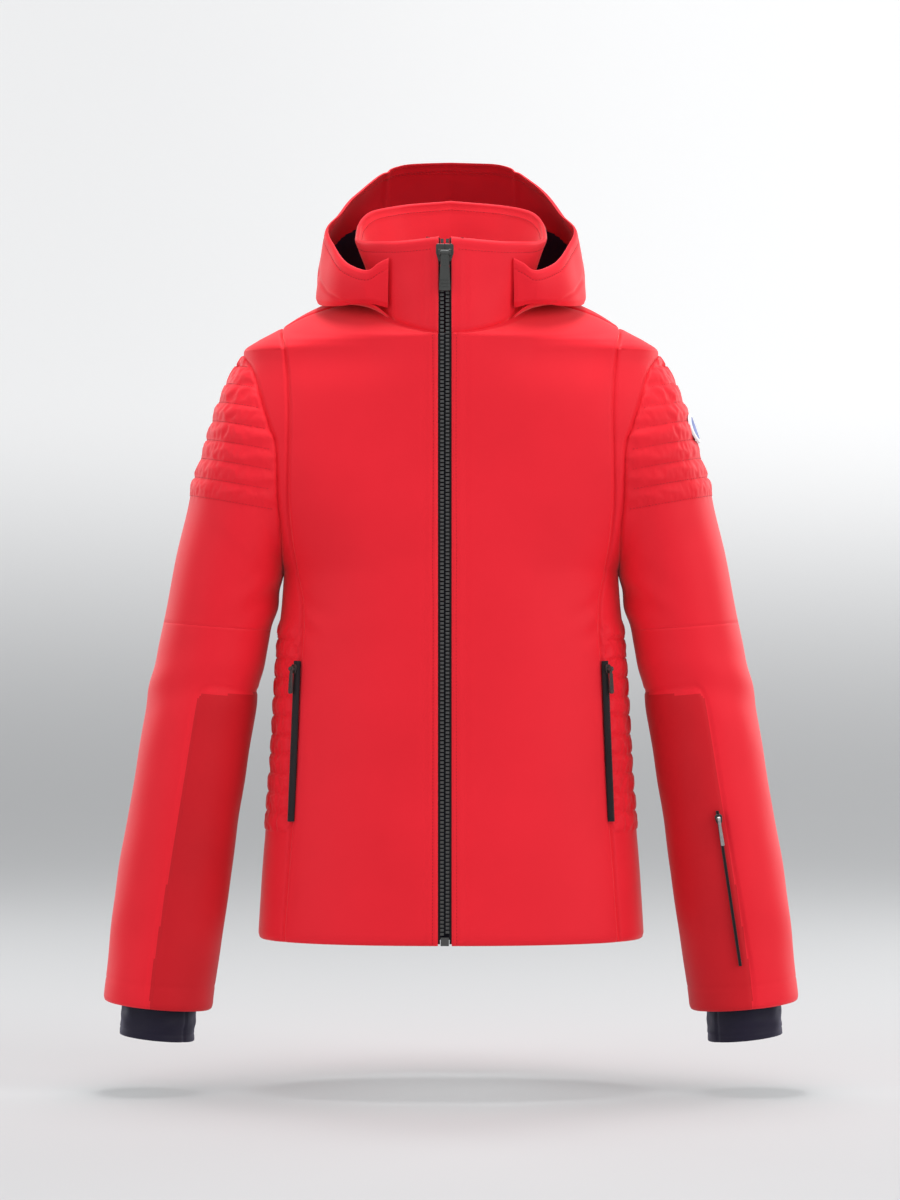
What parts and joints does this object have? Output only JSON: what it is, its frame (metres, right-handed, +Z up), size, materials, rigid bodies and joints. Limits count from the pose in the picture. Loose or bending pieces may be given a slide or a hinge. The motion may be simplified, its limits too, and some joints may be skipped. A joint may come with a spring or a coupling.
{
  "type": "ski jacket",
  "caption": "Hooded ski jacket with quilted shoulders and sides, full-length front zip, zipped pockets and wrist gaiters.",
  "frame": {"origin": "on the symmetry plane, level with the shoulder line, midway between front and back at the neck", "axes": "+Z up, the front faces -Y, +X is the wearer's left"},
  "size_m": [0.676, 0.246, 0.8631],
  "materials": {
    "shell_fabric": "matt stretch shell cloth, red",
    "lining_fabric": "dark navy woven lining",
    "gaiter_knit": "fine stretch knit, near-black navy",
    "zip_tape": "woven zip tape, black",
    "zip_teeth": "moulded acetal, black",
    "slider_metal": "die-cast, black enamel",
    "pull_moulded": "moulded, black with ribs",
    "pull_metal": "dark brushed bar",
    "badge": "moulded patch, white rim and blue face, plain",
    "loop_tape": "narrow woven tape"
  },
  "bodies": {
    "shell": {"armhole_back_panel_left": "shell_fabric", "armhole_back_panel_right": "shell_fabric", "armhole_front_panel_left": "shell_fabric", "armhole_front_panel_right": "shell_fabric", "back_lining": "lining_fabric", "back_panel": "shell_fabric", "collar": "shell_fabric", "collar_lining": "shell_fabric", "front_lining_left": "lining_fabric", "front_lining_right": "lining_fabric", "front_panel_left": "shell_fabric", "front_panel_right": "shell_fabric", "hanger_loop": "loop_tape", "hem_facing": "shell_fabric", "hood_side_left": "shell_fabric", "hood_side_right": "shell_fabric", "pocket_bag_left": "lining_fabric", "pocket_bag_right": "lining_fabric", "pocket_zip_left": "zip_tape", "pocket_zip_right": "zip_tape", "side_panel_left": "shell_fabric", "side_panel_right": "shell_fabric", "sleeve_badge": "badge", "sleeve_cap_left": "shell_fabric", "sleeve_cap_right": "shell_fabric", "storm_flap": "shell_fabric", "zip_bottom_box": "zip_teeth", "zip_tape_left": "zip_tape", "zip_tape_right": "zip_tape", "zip_teeth_left": "zip_teeth", "zip_teeth_right": "zip_teeth", "zip_top_stop_left": "zip_teeth", "zip_top_stop_right": "zip_teeth"},
    "upper_sleeve_left": {"upper_sleeve_left": "shell_fabric", "upper_sleeve_lining_left": "lining_fabric", "elbow_fabric_left": "shell_fabric"},
    "lower_sleeve_left": {"lower_sleeve_outer_left": "shell_fabric", "lower_sleeve_under_left": "shell_fabric", "lower_sleeve_lining_left": "lining_fabric", "wrist_gaiter_left": "gaiter_knit", "pass_zip": "zip_tape"},
    "pocket_left_slider": {"pocket_left_slider": "slider_metal"},
    "pocket_left_pull": {"pocket_left_pull": "pull_moulded"},
    "upper_sleeve_right": {"upper_sleeve_right": "shell_fabric", "upper_sleeve_lining_right": "lining_fabric", "elbow_fabric_right": "shell_fabric"},
    "lower_sleeve_right": {"lower_sleeve_outer_right": "shell_fabric", "lower_sleeve_under_right": "shell_fabric", "lower_sleeve_lining_right": "lining_fabric", "wrist_gaiter_right": "gaiter_knit"},
    "pocket_right_slider": {"pocket_right_slider": "slider_metal"},
    "pocket_right_pull": {"pocket_right_pull": "pull_moulded"},
    "zip_slider": {"zip_slider": "slider_metal"},
    "zip_pull": {"zip_pull": "pull_moulded"},
    "pass_slider": {"pass_slider": "slider_metal"},
    "pass_pull": {"pass_pull": "pull_metal"},
    "hood": {"hood_crown": "shell_fabric", "hood_lining": "lining_fabric", "hood_facing": "shell_fabric"}
  },
  "joints": [
    {"name": "zip_slide", "type": "slide", "parent": "shell", "child": "zip_slider", "axis": [0, -0.0473, -0.9989], "range_m": [0, 0.64]},
    {"name": "zip_pull_hinge", "type": "hinge", "parent": "zip_slider", "child": "zip_pull", "pos_m": [-0.006, -0.08918, 0.05887], "axis": [-1, 0, 0], "range_deg": [0, 170]},
    {"name": "hood_fold", "type": "hinge", "parent": "shell", "child": "hood", "pos_m": [0, 0.078, 0.06], "axis": [-1, 0, 0], "range_deg": [0, 40], "deforming": ["hood_side_left", "hood_side_right"]},
    {"name": "pass_slide", "type": "slide", "parent": "lower_sleeve_left", "child": "pass_slider", "axis": [0.146, -0.0344, -0.9887], "range_m": [0, 0.134]},
    {"name": "pass_pull_hinge", "type": "hinge", "parent": "pass_slider", "child": "pass_pull", "pos_m": [0.25714, -0.08236, -0.48473], "axis": [-0.9893, 0, -0.1461], "range_deg": [0, 150]},
    {"name": "shoulder_left", "type": "hinge", "parent": "shell", "child": "upper_sleeve_left", "pos_m": [0.19, 0, -0.07], "axis": [0, -1, 0], "range_deg": [0, 70], "deforming": ["sleeve_cap_left", "sleeve_badge"]},
    {"name": "elbow_left", "type": "hinge", "parent": "upper_sleeve_left", "child": "lower_sleeve_left", "pos_m": [0.245, 0, -0.381], "axis": [-0.9901, 0, -0.14], "range_deg": [0, 70], "deforming": ["elbow_fabric_left"]},
    {"name": "pocket_left_slide", "type": "slide", "parent": "shell", "child": "pocket_left_slider", "axis": [0.0387, -0.0415, -0.9984], "range_m": [0, 0.138]},
    {"name": "pocket_left_pull_hinge", "type": "hinge", "parent": "pocket_left_slider", "child": "pocket_left_pull", "pos_m": [0.15392, -0.06708, -0.34069], "axis": [-0.7029, -0.7113, 0.0023], "range_deg": [0, 150]},
    {"name": "shoulder_right", "type": "hinge", "parent": "shell", "child": "upper_sleeve_right", "pos_m": [-0.19, 0, -0.07], "axis": [0, 1, 0], "range_deg": [0, 70], "deforming": ["sleeve_cap_right"]},
    {"name": "elbow_right", "type": "hinge", "parent": "upper_sleeve_right", "child": "lower_sleeve_right", "pos_m": [-0.245, 0, -0.381], "axis": [-0.9901, 0, 0.14], "range_deg": [0, 70], "deforming": ["elbow_fabric_right"]},
    {"name": "pocket_right_slide", "type": "slide", "parent": "shell", "child": "pocket_right_slider", "axis": [-0.0387, -0.0415, -0.9984], "range_m": [0, 0.138]},
    {"name": "pocket_right_pull_hinge", "type": "hinge", "parent": "pocket_right_slider", "child": "pocket_right_pull", "pos_m": [-0.15392, -0.06708, -0.34069], "axis": [-0.7029, 0.7113, -0.0023], "range_deg": [0, 150]}
  ]
}
